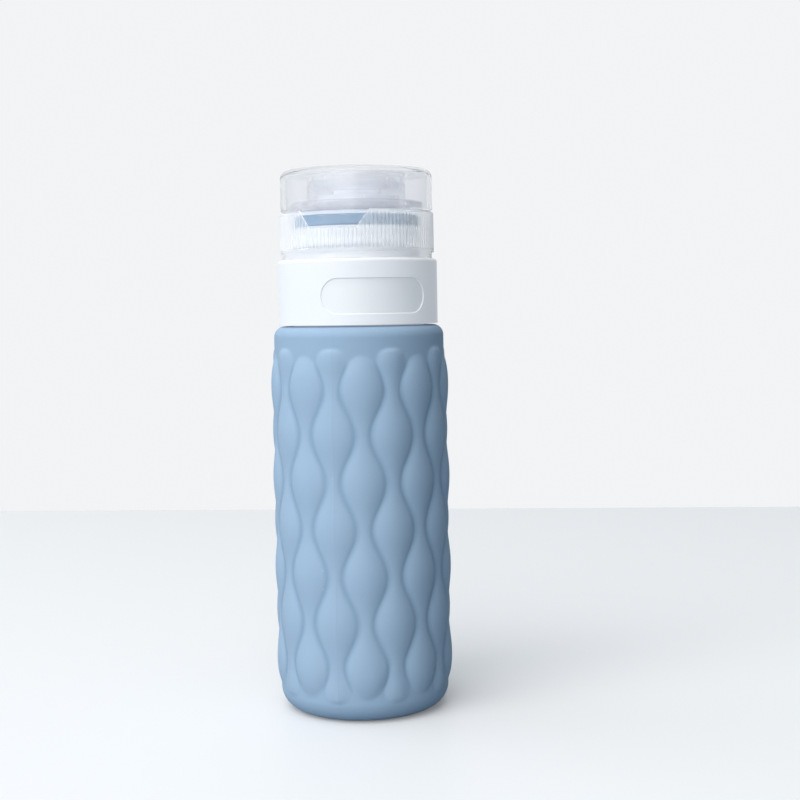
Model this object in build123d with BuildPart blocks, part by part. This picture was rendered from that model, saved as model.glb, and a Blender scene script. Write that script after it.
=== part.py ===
from build123d import *
import math
import os

os.makedirs("parts", exist_ok=True)

# A squeezable travel bottle. Lengths are in millimetres and angles in degrees.
# +Z is up and the origin is the centre of the base. The front, -Y, is the side with the
# thumb notch and the mould's parting line, and the lid's hinge is at the back, +Y.

# Silicone body
band_r = 20.95
body_wall = 2.6
base_thickness = 3.4
base_corner_r = 5.2
base_inner_corner_r = 3.0
base_foot_width = 2.45
base_recess_depth = 0.8
shoulder_z = 94.9
shoulder_round_r = 2.6
shoulder_wall = 2.4
neck_wall = 2.2
lip_overhang = 2.1
lip_thickness = 2.6

# Relief of teardrops on the body, in columns that swell and narrow in turn
relief_columns = 18
relief_pitch = 22.5
relief_swing_angle = 4.8
relief_crease_rise = 0.25
relief_height = 0.87
relief_first_swell_z = 12.8
relief_low_margins = (5.3, 6.05)
relief_high_margins = (5.4, 6.7)
relief_end_run = 4.5
relief_end_drop = 0.75
relief_flank_angle = 3.0
relief_sections = 28
relief_height_power = 1.2

# Neck sleeve and its thread
sleeve_wall = 1.8
flange_thickness = 1.2
dial_step_height = 1.5
thread_pitch = 3.2
thread_depth = 1.2
thread_overlap = 0.5
thread_root_width = 1.5
thread_crest_width = 0.8
thread_turns = 1.5
thread_start_above_collar = 0.95
thread_top_margin = 0.6
thread_start_angle = 50.0

# Label dial and window collar
dial_wall = 0.7
dial_top_gap = 0.15
dial_gap = 0.2
collar_inset = 1.35
collar_wall = 1.2
collar_height = 15.75
collar_gap = 0.3
collar_lip_thickness = 1.2
collar_round_r = 0.8
collar_bead_half_height = 0.25
collar_bead_reach = 0.35
collar_bead_gap = 0.1
window_height = 8.2
window_span_angle = 79.0
window_angle = 32.0
window_rise = 2.7
window_bevel = 0.2
pane_recess = 0.2

# Screw cap
cap_gap = 0.15
ring_inset = 0.7
ring_round_r = 0.6
cap_lip_inset = 0.55
cap_lip_height = 1.45
cap_lip_wall = 0.7
thread_gap = 0.25
female_thread_turns = 1.2
female_thread_depth = 0.75
rib_count = 120
rib_depth = 0.38
rib_crest_share = 0.3
rib_root_share = 0.3
rib_low_margin = 0.85
rib_high_margin = 0.7
notch_top_angle = 55.2
notch_bottom_angle = 36.2
notch_height = 4.35
notch_depth = 0.65
deck_inset = 2.6
deck_rise = 2.5
deck_thickness = 2.6
deck_round_r = 0.35
core_groove_height = 1.4
core_groove_rim = 2.9
deck_width = 4.2
platform_rise = 4.8
platform_round_r = 0.6
platform_wall = 1.5
bowl_depth = 2.0
web_thickness = 1.2
pocket_inset = 1.0
pocket_wall = 1.2
valve_seat_width = 4.0

# Seal washer, valve and its retainer
washer_gap = 0.1
washer_thickness = 0.7
washer_bore_inset = 0.8
washer_edge_inset = 1.05
valve_flange_thickness = 1.5
valve_skin = 0.9
valve_head_rise = 0.7
valve_head_dip = 0.9
valve_orifice_gap = 0.2
slit_length_share = 0.78
slit_width = 0.15
retainer_bore_inset = 1.0

# Flip lid and its living hinge
lid_inset = 0.25
lid_wall = 1.2
lid_gap = 0.55
lid_round_r = 1.7
lid_inner_round_r = 0.6
seal_ring_wall = 1.2
seal_ring_gap = 0.2
seal_ring_height = 1.6
plug_orifice_gap = 2.8
plug_wall = 1.0
plug_gap = 0.25
hinge_pad_proud = 0.1
hinge_pad_width = 11.0
hinge_pad_height = 1.4
hinge_pad_depth = 1.4
strap_width = 9.0
strap_thickness = 0.4
strap_reach = 1.2
strap_groove_depth = 0.2
strap_groove_half_height = 0.3

# Radii that follow from the band's, from the outside inwards
collar_r = band_r - collar_inset
collar_bore_r = collar_r - collar_wall
dial_r = collar_bore_r - dial_gap
dial_bore_r = dial_r - dial_wall
ring_r = collar_r - ring_inset
cap_lip_r = ring_r - cap_lip_inset
skirt_inner_r = cap_lip_r - cap_lip_wall
thread_r = skirt_inner_r - thread_gap
sleeve_r = thread_r - thread_depth
neck_r = sleeve_r - sleeve_wall
neck_bore_r = neck_r - neck_wall
lip_r = neck_r + lip_overhang
notch_floor_r = ring_r - notch_depth
deck_r = ring_r - deck_inset
platform_r = deck_r - deck_width
bowl_r = platform_r - platform_wall
pocket_r = bowl_r - pocket_inset
orifice_r = pocket_r - valve_seat_width
lid_r = ring_r - lid_inset
plug_r = orifice_r + plug_orifice_gap
hinge_pad_y = ring_r + hinge_pad_proud

# Heights that follow from the shoulder's, from the bottom up
collar_low_z = shoulder_z + collar_gap
collar_high_z = collar_low_z + collar_height
collar_lip_low_z = collar_high_z - collar_lip_thickness
flange_low_z = collar_low_z + 2 * collar_bead_half_height + collar_bead_gap
flange_high_z = flange_low_z + flange_thickness
thread_z = collar_high_z + thread_start_above_collar + thread_root_width / 2
thread_high_z = thread_z + thread_turns * thread_pitch + thread_root_width / 2
lip_low_z = thread_high_z + thread_top_margin
lip_high_z = lip_low_z + lip_thickness
ceiling_z = lip_high_z + washer_gap + washer_thickness + washer_gap
deck_z = ceiling_z + deck_thickness
cap_low_z = collar_high_z + cap_gap
ring_low_z = cap_low_z + cap_lip_height
ring_high_z = deck_z - deck_rise
platform_z = deck_z + platform_rise
web_high_z = platform_z - bowl_depth
web_low_z = web_high_z - web_thickness
seal_ring_low_z = platform_z + seal_ring_gap
lid_low_z = ring_high_z + lid_gap
lid_ceiling_z = seal_ring_low_z + seal_ring_height
lid_high_z = lid_ceiling_z + lid_wall
hinge_z = (ring_high_z + lid_low_z) / 2
cut_overrun = 1.0
match_tolerance = 0.01


def around(radius, angle):
    """A point of the XY plane at an angle from the front, positive towards +X."""
    return (radius * math.sin(math.radians(angle)), -radius * math.cos(math.radians(angle)))


# The relief. A column's section at one height is a segment of a circle through both
# creases and the crown. Its flanks run on past the creases, so that neighbours cross there.
column_angle = 360 / relief_columns


def column_half_angle(z, swells_low):
    """Half the angle that a column takes at a height, from its crown to its crease."""
    phase = 0 if swells_low else 180
    turn = 360 * (z - relief_first_swell_z) / relief_pitch + phase
    return column_angle / 2 + relief_swing_angle * math.cos(math.radians(turn))


def end_drop(z, low_z, high_z):
    """How far the relief sinks at a height, near the round ends of its columns."""
    inside = min(z - low_z, high_z - z)
    along = max(0, 1 - inside / relief_end_run)
    return relief_end_drop * (1 - math.sqrt(1 - along**2))


def column_segment(z, swells_low, low_z, high_z):
    """The two ends and the crown of a column's arc at a height, about +Y."""
    half = column_half_angle(z, swells_low)
    widest = column_angle / 2 + relief_swing_angle
    crease_r = band_r + relief_crease_rise - end_drop(z, low_z, high_z)
    crown_r = crease_r + relief_height * (half / widest) ** relief_height_power
    crease_x = crease_r * math.sin(math.radians(half))
    crease_y = crease_r * math.cos(math.radians(half))
    sagitta = crown_r - crease_y
    arc_r = (crease_x**2 + sagitta**2) / (2 * sagitta)
    centre_y = crown_r - arc_r
    # The far end of the arc lies on the ray at the flank's angle from the column's middle.
    ray = math.radians(half + relief_flank_angle)
    reach = centre_y * math.cos(ray) + math.sqrt(arc_r**2 - (centre_y * math.sin(ray)) ** 2)
    end_x, end_y = reach * math.sin(ray), reach * math.cos(ray)
    return (-end_x, end_y), (0, crown_r), (end_x, end_y)


def build_column(swells_low, low_margin, high_margin):
    """One lofted column of the relief, standing at +Y."""
    low_z, high_z = low_margin, shoulder_z - high_margin
    with BuildPart() as column:
        for step in range(relief_sections + 1):
            z = low_z + (high_z - low_z) * step / relief_sections
            left, crown, right = column_segment(z, swells_low, low_z, high_z)
            with BuildSketch(Plane.XY.offset(z)):
                with BuildLine():
                    ThreePointArc(left, crown, right)
                    Line(right, left)
                make_face()
        loft()
    return column.part


high_column = build_column(False, relief_low_margins[0], relief_high_margins[0])
low_column = build_column(True, relief_low_margins[1], relief_high_margins[1])

# Silicone body: base, wall, shoulder, neck and the lip folded out over the sleeve
base_foot_r = band_r - base_corner_r - base_foot_width
cavity_r = band_r - body_wall
cavity_high_z = shoulder_z - shoulder_wall
with BuildPart() as squeeze_body:
    with BuildSketch(Plane.XZ):
        with BuildLine():
            Polyline(
                (0, base_recess_depth),
                (base_foot_r - base_recess_depth, base_recess_depth),
                (base_foot_r, 0),
                (band_r - base_corner_r, 0),
            )
            CenterArc((band_r - base_corner_r, base_corner_r), base_corner_r, -90, 90)
            Line((band_r, base_corner_r), (band_r, shoulder_z - shoulder_round_r))
            CenterArc(
                (band_r - shoulder_round_r, shoulder_z - shoulder_round_r),
                shoulder_round_r,
                0,
                90,
            )
            Polyline(
                (band_r - shoulder_round_r, shoulder_z),
                (neck_r, shoulder_z),
                (neck_r, lip_low_z),
                (lip_r, lip_low_z),
                (lip_r, lip_high_z),
                (neck_bore_r, lip_high_z),
                (neck_bore_r, cavity_high_z),
                (cavity_r - body_wall, cavity_high_z),
                (cavity_r, cavity_high_z - body_wall),
                (cavity_r, base_thickness + base_inner_corner_r),
            )
            CenterArc(
                (cavity_r - base_inner_corner_r, base_thickness + base_inner_corner_r),
                base_inner_corner_r,
                0,
                -90,
            )
            Polyline(
                (cavity_r - base_inner_corner_r, base_thickness),
                (0, base_thickness),
                (0, base_recess_depth),
            )
        make_face()
    revolve(axis=Axis.Z)
    add(
        [
            (low_column if index % 2 else high_column).rotate(Axis.Z, 180 + column_angle * index)
            for index in range(relief_columns)
        ]
    )
squeeze_body.part.label = "squeeze_body"
export_step(squeeze_body.part, "parts/squeeze_body.step")


def build_thread(root_r, crest_r, low_z, turns, start_angle):
    """A right-handed ridge wound up a cylinder. Its flanks run on into the wall at its root."""
    sunk_share = thread_overlap / abs(crest_r - root_r)
    sunk_r = root_r + (root_r - crest_r) * sunk_share
    sunk_width = thread_root_width + (thread_root_width - thread_crest_width) * sunk_share
    with BuildPart() as ridge:
        with BuildLine() as path:
            Helix(thread_pitch, thread_pitch * turns, root_r, center=(0, 0, low_z))
        with BuildSketch(Plane((0, 0, low_z), x_dir=(1, 0, 0), z_dir=(0, -1, 0))):
            with BuildLine():
                Polyline(
                    (sunk_r, -sunk_width / 2),
                    (crest_r, -thread_crest_width / 2),
                    (crest_r, thread_crest_width / 2),
                    (sunk_r, sunk_width / 2),
                    close=True,
                )
            make_face()
        sweep(path=path.line, is_frenet=True)
    return ridge.part.rotate(Axis.Z, start_angle)


# Neck sleeve: tube, flange, step that centres the dial, and male thread
male_thread = build_thread(sleeve_r, thread_r, thread_z, thread_turns, thread_start_angle)
with BuildPart() as neck_sleeve:
    with BuildSketch(Plane.XZ):
        with BuildLine():
            Polyline(
                (neck_r, shoulder_z),
                (sleeve_r, shoulder_z),
                (sleeve_r, flange_low_z),
                (dial_r, flange_low_z),
                (dial_r, flange_high_z),
                (dial_bore_r, flange_high_z),
                (dial_bore_r, flange_high_z + dial_step_height),
                (sleeve_r, flange_high_z + dial_step_height),
                (sleeve_r, lip_low_z),
                (neck_r, lip_low_z),
                close=True,
            )
        make_face()
    revolve(axis=Axis.Z)
    add(male_thread)
neck_sleeve.part.label = "neck_sleeve"
export_step(neck_sleeve.part, "parts/neck_sleeve.step")

# Label dial: a plain thin ring on the sleeve's flange
with BuildPart() as label_dial:
    with BuildSketch(Plane.XY.offset(flange_high_z)):
        Circle(dial_r)
        Circle(dial_bore_r, mode=Mode.SUBTRACT)
    extrude(amount=collar_lip_low_z - dial_top_gap - flange_high_z)
label_dial.part.label = "label_dial"
export_step(label_dial.part, "parts/label_dial.step")

# Cutter for the window: a pill that is wrapped round the collar. It is a stretch of slot along
# the wall, with a round hole across the wall at each end.
window_z = collar_low_z + window_rise + window_height / 2
window_end_angle = math.degrees(math.asin(window_height / 2 / collar_r))
middle_angle = window_span_angle - 2 * window_end_angle
with BuildPart() as window_cutter:
    with BuildSketch(Plane.XZ.rotated((0, 0, window_angle - 90 - middle_angle / 2))):
        with Locations((collar_r, window_z)):
            Rectangle(2 * (collar_wall + cut_overrun), window_height)
    revolve(axis=Axis.Z, revolution_arc=middle_angle)
    for side in (-1, 1):
        x, y = around(1, window_angle + side * middle_angle / 2)
        with BuildSketch(Plane((0, 0, window_z), x_dir=(-y, x, 0), z_dir=(x, y, 0))):
            Circle(window_height / 2)
        extrude(amount=collar_r + cut_overrun)

rim_point_shares = (0, 0.25, 0.5, 0.75, 1)


def on_window_rim(edge):
    """Whether an edge bounds the window on the collar's outside."""
    points = [edge.position_at(share) for share in rim_point_shares]
    nearest = min(math.hypot(point.X, point.Y) for point in points)
    off_middle = max(abs(point.Z - window_z) for point in points)
    return (
        nearest > collar_r - match_tolerance
        and off_middle < window_height / 2 + match_tolerance
        and edge.geom_type != GeomType.LINE
    )


# Window collar: shell with a lip at the top, a snap bead under the flange and the window
with BuildPart() as window_collar:
    with BuildSketch(Plane.XZ):
        with BuildLine():
            Polyline(
                (collar_bore_r, collar_low_z + 2 * collar_bead_half_height),
                (collar_bore_r - collar_bead_reach, collar_low_z + collar_bead_half_height),
                (collar_bore_r, collar_low_z),
                (collar_r, collar_low_z),
                (collar_r, collar_high_z),
                (thread_r + dial_gap / 2, collar_high_z),
                (thread_r + dial_gap / 2, collar_lip_low_z),
                (collar_bore_r, collar_lip_low_z),
                close=True,
            )
        make_face()
    revolve(axis=Axis.Z)
    fillet(window_collar.edges().group_by(Axis.Z)[-1].sort_by(SortBy.RADIUS)[-1], collar_round_r)
    add(window_cutter.part, mode=Mode.SUBTRACT)
    chamfer(window_collar.edges().filter_by(on_window_rim), window_bevel)
window_collar.part.label = "window_collar"
export_step(window_collar.part, "parts/window_collar.step")

# Window pane: fills the window from the collar's bore to a little below its outside
with BuildPart() as window_pane:
    with BuildSketch(Plane.XY.offset(window_z - window_height)):
        Circle(collar_r - pane_recess)
        Circle(collar_bore_r, mode=Mode.SUBTRACT)
    extrude(amount=2 * window_height)
    add(window_cutter.part, mode=Mode.INTERSECT)
window_pane.part.label = "window_pane"
export_step(window_pane.part, "parts/window_pane.step")


def rims(part, radius, height):
    """The round edges of a part at one radius and height."""
    return part.edges().filter_by(
        lambda edge: edge.geom_type == GeomType.CIRCLE
        and abs(edge.radius - radius) < match_tolerance
        and abs(edge.arc_center.Z - height) < match_tolerance
    )


# Screw cap: skirt, lower lip, knurled ring, deck, raised platform with the orifice. Its
# thread starts half a turn from the sleeve's, so that each ridge lies midway between two.
rib_angle = 360 / rib_count
rib_root_r = ring_r - rib_depth
rib_corners = [
    (-(1 - rib_root_share) / 2, rib_root_r),
    (-rib_crest_share / 2, ring_r),
    (rib_crest_share / 2, ring_r),
    ((1 - rib_root_share) / 2, rib_root_r),
]
rib_points = [
    around(radius, rib_angle * (index + share))
    for index in range(rib_count)
    for share, radius in rib_corners
]
rib_low_z = ring_low_z + rib_low_margin
rib_high_z = ring_high_z - rib_high_margin

notch_low_z = ring_high_z - notch_height
notch_top_x = ring_r * math.sin(math.radians(notch_top_angle / 2))
notch_bottom_x = ring_r * math.sin(math.radians(notch_bottom_angle / 2))
with BuildPart() as notch_cutter:
    with BuildSketch(Plane.XZ):
        with BuildLine():
            Polyline(
                (-notch_top_x, ring_high_z + cut_overrun),
                (-notch_top_x, ring_high_z),
                (-notch_bottom_x, notch_low_z),
                (notch_bottom_x, notch_low_z),
                (notch_top_x, ring_high_z),
                (notch_top_x, ring_high_z + cut_overrun),
                close=True,
            )
        make_face()
    extrude(amount=ring_r + cut_overrun)
    with BuildSketch(Plane.XY.offset(notch_low_z - cut_overrun)):
        Circle(notch_floor_r)
    extrude(amount=notch_height + 3 * cut_overrun, mode=Mode.SUBTRACT)

female_crest_r = skirt_inner_r - female_thread_depth
female_thread = build_thread(
    skirt_inner_r, female_crest_r, thread_z, female_thread_turns, thread_start_angle + 180
)
groove_inner_r = pocket_r + pocket_wall
groove_outer_r = deck_r - core_groove_rim
with BuildPart() as cap_base:
    with BuildSketch(Plane.XZ):
        with BuildLine():
            Polyline(
                (skirt_inner_r, cap_low_z),
                (cap_lip_r, cap_low_z),
                (cap_lip_r, ring_low_z),
                (ring_r, ring_low_z),
                (ring_r, ring_high_z),
                (deck_r, ring_high_z),
                (deck_r, deck_z),
                (platform_r, deck_z),
                (platform_r, platform_z),
                (bowl_r, platform_z),
                (bowl_r, web_high_z),
                (orifice_r, web_high_z),
                (orifice_r, web_low_z),
                (pocket_r, web_low_z),
                (pocket_r, ceiling_z),
                (groove_inner_r, ceiling_z),
                (groove_inner_r, ceiling_z + core_groove_height),
                (groove_outer_r, ceiling_z + core_groove_height),
                (groove_outer_r, ceiling_z),
                (skirt_inner_r, ceiling_z),
                close=True,
            )
        make_face()
    revolve(axis=Axis.Z)
    fillet(rims(cap_base, ring_r, ring_high_z), ring_round_r)
    fillet(rims(cap_base, deck_r, deck_z), deck_round_r)
    fillet(rims(cap_base, platform_r, platform_z), platform_round_r)
    with BuildSketch(Plane.XY.offset(rib_low_z)):
        Circle(ring_r + cut_overrun)
        with BuildLine():
            Polyline(*rib_points, close=True)
        make_face(mode=Mode.SUBTRACT)
    extrude(amount=rib_high_z - rib_low_z, mode=Mode.SUBTRACT)
    with Locations((0, hinge_pad_y - hinge_pad_depth / 2, ring_high_z - hinge_pad_height / 2)):
        Box(hinge_pad_width, hinge_pad_depth, hinge_pad_height)
    add(notch_cutter.part, mode=Mode.SUBTRACT)
    add(female_thread)
cap_base.part.label = "cap_base"
export_step(cap_base.part, "parts/cap_base.step")

# Seal washer, between the cap's ceiling and the silicone lip
with BuildPart() as seal_washer:
    with BuildSketch(Plane.XY.offset(lip_high_z + washer_gap)):
        Circle(skirt_inner_r - washer_edge_inset)
        Circle(neck_bore_r + washer_bore_inset, mode=Mode.SUBTRACT)
    extrude(amount=washer_thickness)
seal_washer.part.label = "seal_washer"
export_step(seal_washer.part, "parts/seal_washer.step")

# Slit valve: flange under the web, and a dished head with crossed slits in the orifice
valve_low_z = web_low_z - valve_flange_thickness
valve_r = orifice_r - valve_orifice_gap
valve_bore_r = valve_r - valve_skin
valve_high_z = web_high_z + valve_head_rise
slit_length = 2 * valve_bore_r * slit_length_share
dish_r = (valve_r**2 + valve_head_dip**2) / (2 * valve_head_dip)
dish_angle = math.degrees(math.asin(valve_r / dish_r))
under_angle = math.degrees(math.asin(valve_bore_r / (dish_r + valve_skin)))
dish_centre_z = valve_high_z + dish_r - valve_head_dip
under_z = dish_centre_z - (dish_r + valve_skin) * math.cos(math.radians(under_angle))
with BuildPart() as slit_valve:
    with BuildSketch(Plane.XZ):
        with BuildLine():
            Polyline(
                (0, dish_centre_z - dish_r),
                (0, dish_centre_z - dish_r - valve_skin),
            )
            CenterArc((0, dish_centre_z), dish_r + valve_skin, -90, under_angle)
            Polyline(
                (valve_bore_r, under_z),
                (valve_bore_r, valve_low_z),
                (pocket_r, valve_low_z),
                (pocket_r, web_low_z),
                (valve_r, web_low_z),
                (valve_r, valve_high_z),
            )
            CenterArc((0, dish_centre_z), dish_r, dish_angle - 90, -dish_angle)
        make_face()
    revolve(axis=Axis.Z)
    with BuildSketch(Plane.XY.offset(under_z - valve_head_dip - valve_skin)):
        Rectangle(slit_length, slit_width)
        Rectangle(slit_width, slit_length)
    extrude(amount=2 * (valve_head_dip + valve_skin), mode=Mode.SUBTRACT)
slit_valve.part.label = "slit_valve"
export_step(slit_valve.part, "parts/slit_valve.step")

# Valve retainer: the ring pressed into the pocket under the valve's flange
with BuildPart() as valve_retainer:
    with BuildSketch(Plane.XY.offset(ceiling_z)):
        Circle(pocket_r)
        Circle(orifice_r + retainer_bore_inset, mode=Mode.SUBTRACT)
    extrude(amount=valve_low_z - ceiling_z)
valve_retainer.part.label = "valve_retainer"
export_step(valve_retainer.part, "parts/valve_retainer.step")

# Flip lid: shell, ring that closes on the platform, ring that presses around the valve
lid_inner_r = lid_r - lid_wall
plug_low_z = web_high_z + plug_gap
with BuildPart() as flip_lid:
    with BuildSketch(Plane.XZ):
        with BuildLine():
            Polyline(
                (lid_inner_r, lid_low_z),
                (lid_r, lid_low_z),
                (lid_r, lid_high_z),
                (0, lid_high_z),
                (0, lid_ceiling_z),
                (plug_r - plug_wall, lid_ceiling_z),
                (plug_r - plug_wall, plug_low_z),
                (plug_r, plug_low_z),
                (plug_r, lid_ceiling_z),
                (platform_r - seal_ring_wall, lid_ceiling_z),
                (platform_r - seal_ring_wall, seal_ring_low_z),
                (platform_r, seal_ring_low_z),
                (platform_r, lid_ceiling_z),
                (lid_inner_r, lid_ceiling_z),
                close=True,
            )
        make_face()
    revolve(axis=Axis.Z)
    fillet(rims(flip_lid, lid_r, lid_high_z), lid_round_r)
    fillet(rims(flip_lid, lid_inner_r, lid_ceiling_z), lid_inner_round_r)
    with Locations((0, hinge_pad_y - hinge_pad_depth / 2, lid_low_z + hinge_pad_height / 2)):
        Box(hinge_pad_width, hinge_pad_depth, hinge_pad_height)
flip_lid.part.label = "flip_lid"
export_step(flip_lid.part, "parts/flip_lid.step")

# Hinge strap: a flat band across the gap behind the two pads, thinned where it bends
strap_y = hinge_pad_y + strap_thickness
with BuildPart() as hinge_strap:
    with BuildSketch(Plane.YZ.offset(-strap_width / 2)):
        with BuildLine():
            Polyline(
                (hinge_pad_y, ring_high_z - strap_reach),
                (strap_y, ring_high_z - strap_reach),
                (strap_y, hinge_z - strap_groove_half_height),
                (strap_y - strap_groove_depth, hinge_z),
                (strap_y, hinge_z + strap_groove_half_height),
                (strap_y, lid_low_z + strap_reach),
                (hinge_pad_y, lid_low_z + strap_reach),
                close=True,
            )
        make_face()
    extrude(amount=strap_width)
hinge_strap.part.label = "hinge_strap"
export_step(hinge_strap.part, "parts/hinge_strap.step")
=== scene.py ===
import logging
import math
from dataclasses import dataclass, field
from enum import Enum
from typing import Sequence

import bmesh
import bpy
from mathutils import Matrix, Vector


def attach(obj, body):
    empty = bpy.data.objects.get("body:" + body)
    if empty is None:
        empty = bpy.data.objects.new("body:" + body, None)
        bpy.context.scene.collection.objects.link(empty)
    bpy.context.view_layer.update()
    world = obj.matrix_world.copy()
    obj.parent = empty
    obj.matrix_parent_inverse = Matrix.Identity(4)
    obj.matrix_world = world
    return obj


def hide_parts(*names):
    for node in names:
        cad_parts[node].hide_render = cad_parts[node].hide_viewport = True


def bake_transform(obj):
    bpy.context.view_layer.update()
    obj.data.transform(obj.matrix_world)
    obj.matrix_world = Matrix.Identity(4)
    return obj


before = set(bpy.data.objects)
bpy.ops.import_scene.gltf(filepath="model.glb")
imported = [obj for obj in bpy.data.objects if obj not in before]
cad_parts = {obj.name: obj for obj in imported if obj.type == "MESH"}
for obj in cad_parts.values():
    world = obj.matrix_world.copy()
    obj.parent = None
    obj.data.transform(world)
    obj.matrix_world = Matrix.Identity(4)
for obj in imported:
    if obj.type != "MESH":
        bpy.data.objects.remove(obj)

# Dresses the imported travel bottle. Its sizes are in millimetres and become metres where a mesh
# is made. The studio's sizes are in metres. Angles are in degrees, and the front is -Y.

MM = 0.001
# Light Path's Diffuse Depth passes this once a matt surface has thrown the light back.
FIRST_BOUNCE = 0.5
LOG = logging.getLogger("travel_bottle")
Rgb = tuple[float, float, float]
Point2 = tuple[float, float]
Point3 = tuple[float, float, float]
Sample = tuple[float, float, float, float]
Piece = bpy.types.Object
Material = bpy.types.Material
Node = bpy.types.Node
NodeTree = bpy.types.NodeTree
Socket = bpy.types.NodeSocket


class Body(Enum):
    """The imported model's bodies that new pieces ride on."""

    BOTTLE = "bottle"
    CAP = "cap"
    LID = "lid"


class Slot(Enum):
    """Names of the model's material slots."""

    SILICONE = "blue_silicone"
    FROSTED = "frosted_plastic"
    CLEAR = "clear_plastic"


class CapZone(Enum):
    """The cap's finishes, numbered by their place in its mesh's list of materials."""

    FROSTED = 0
    POLISHED = 1
    CLOUDED = 2
    # Painted highlight on the notch's slanted sides.
    EDGE_LIT = 3


def smooth_max(first: float, second: float, blend: float) -> float:
    """The larger of two numbers, rounded off where they are less than a blend apart."""
    overlap = max(blend - abs(first - second), 0.0)
    return max(first, second) + overlap * overlap / (4 * blend)


def eased(share: float) -> float:
    """A share from 0 to 1 with a soft start and end."""
    share = min(max(share, 0.0), 1.0)
    return share * share * (3 - 2 * share)


def around(radius: float, angle: float, height: float) -> Point3:
    """A point on a circle about the axis, at an angle from the front towards +X."""
    turn = math.radians(angle)
    return (radius * math.sin(turn), -radius * math.cos(turn), height)


def rgb_from_srgb(red: float, green: float, blue: float) -> Rgb:
    """A linear colour from three sRGB values out of 255.

    Args:
        red: Red, 0 to 255.
        green: Green, 0 to 255.
        blue: Blue, 0 to 255.

    Returns:
        The colour as Blender's sockets take it.
    """
    full, knee, slope, offset, power = 255.0, 0.04045, 12.92, 0.055, 2.4

    def linear(value: float) -> float:
        """One channel, from sRGB to linear."""
        share = value / full
        return share / slope if share <= knee else ((share + offset) / (1 + offset)) ** power

    return (linear(red), linear(green), linear(blue))


def add_object(name: str, data: bpy.types.ID) -> Piece:
    """Makes an object and links it to the scene.

    Args:
        name: The object's name.
        data: Its mesh, lamp or camera.

    Returns:
        The object.
    """
    made = bpy.data.objects.new(name, data)
    bpy.context.scene.collection.objects.link(made)
    return made


def dress(
    piece: Piece,
    material: Material,
    body: Body | None = None,
    replaces: Sequence[str] = (),
) -> Piece:
    """Gives a piece its material and its body, and hides the nodes that it replaces.

    Args:
        piece: The mesh object.
        material: The finish that it takes.
        body: The body that it rides on, none for a CAD node or a blended piece.
        replaces: CAD nodes that it stands for.

    Returns:
        The same object.
    """
    piece.data.materials.clear()
    piece.data.materials.append(material)
    if body is not None:
        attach(piece, body.value)
    if replaces:
        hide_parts(*replaces)
    return piece


@dataclass(frozen=True)
class Corner:
    """A corner of a turned profile.

    Args:
        radius: Distance from the axis.
        height: Height above the base.
        rounding: Radius of the moulded round at the corner, 0 for none.
    """

    radius: float
    height: float
    rounding: float = 0.0


@dataclass(frozen=True)
class RoundedProfile:
    """A turned profile whose corners, but for its two ends, are rounded as a mould rounds them.

    Args:
        corners: The corners in order.
        steps: Segments in each round.
        longest: The longest straight step between two rows.
    """

    corners: Sequence[Corner]
    steps: int
    longest: float

    def rounded_corner(self, index: int) -> list[Point2]:
        """The points that replace one corner.

        Args:
            index: Which corner.

        Returns:
            One point for a sharp corner, else the points of its round.
        """
        here = self.corners[index]
        if here.rounding <= 0 or index in (0, len(self.corners) - 1):
            return [(here.radius, here.height)]
        point = Vector((here.radius, here.height))
        before, after = self.corners[index - 1], self.corners[index + 1]
        back = Vector((before.radius, before.height)) - point
        ahead = Vector((after.radius, after.height)) - point
        reach = min(back.length, ahead.length) / 2
        back.normalize()
        ahead.normalize()
        half_angle = back.angle(ahead) / 2
        cut = min(here.rounding / math.tan(half_angle), reach)
        radius = cut * math.tan(half_angle)
        centre = point + (back + ahead).normalized() * (radius / math.sin(half_angle))
        start, end = point + back * cut - centre, point + ahead * cut - centre
        sweep = start.angle_signed(end)
        points = []
        for step in range(self.steps + 1):
            turn = -sweep * step / self.steps
            cosine, sine = math.cos(turn), math.sin(turn)
            across = centre.x + start.x * cosine - start.y * sine
            points.append((across, centre.y + start.x * sine + start.y * cosine))
        return points

    def points(self) -> list[Point2]:
        """Draws the whole profile, with its long runs divided.

        Returns:
            The radius and height of each point.
        """
        outline: list[Point2] = []
        for index in range(len(self.corners)):
            outline += self.rounded_corner(index)
        divided = [outline[0]]
        for (r0, z0), (r1, z1) in zip(outline, outline[1:]):
            pieces = max(1, math.ceil(math.hypot(r1 - r0, z1 - z0) / self.longest))
            for step in range(1, pieces + 1):
                share = step / pieces
                divided.append((r0 + (r1 - r0) * share, z0 + (z1 - z0) * share))
        return divided


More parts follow.
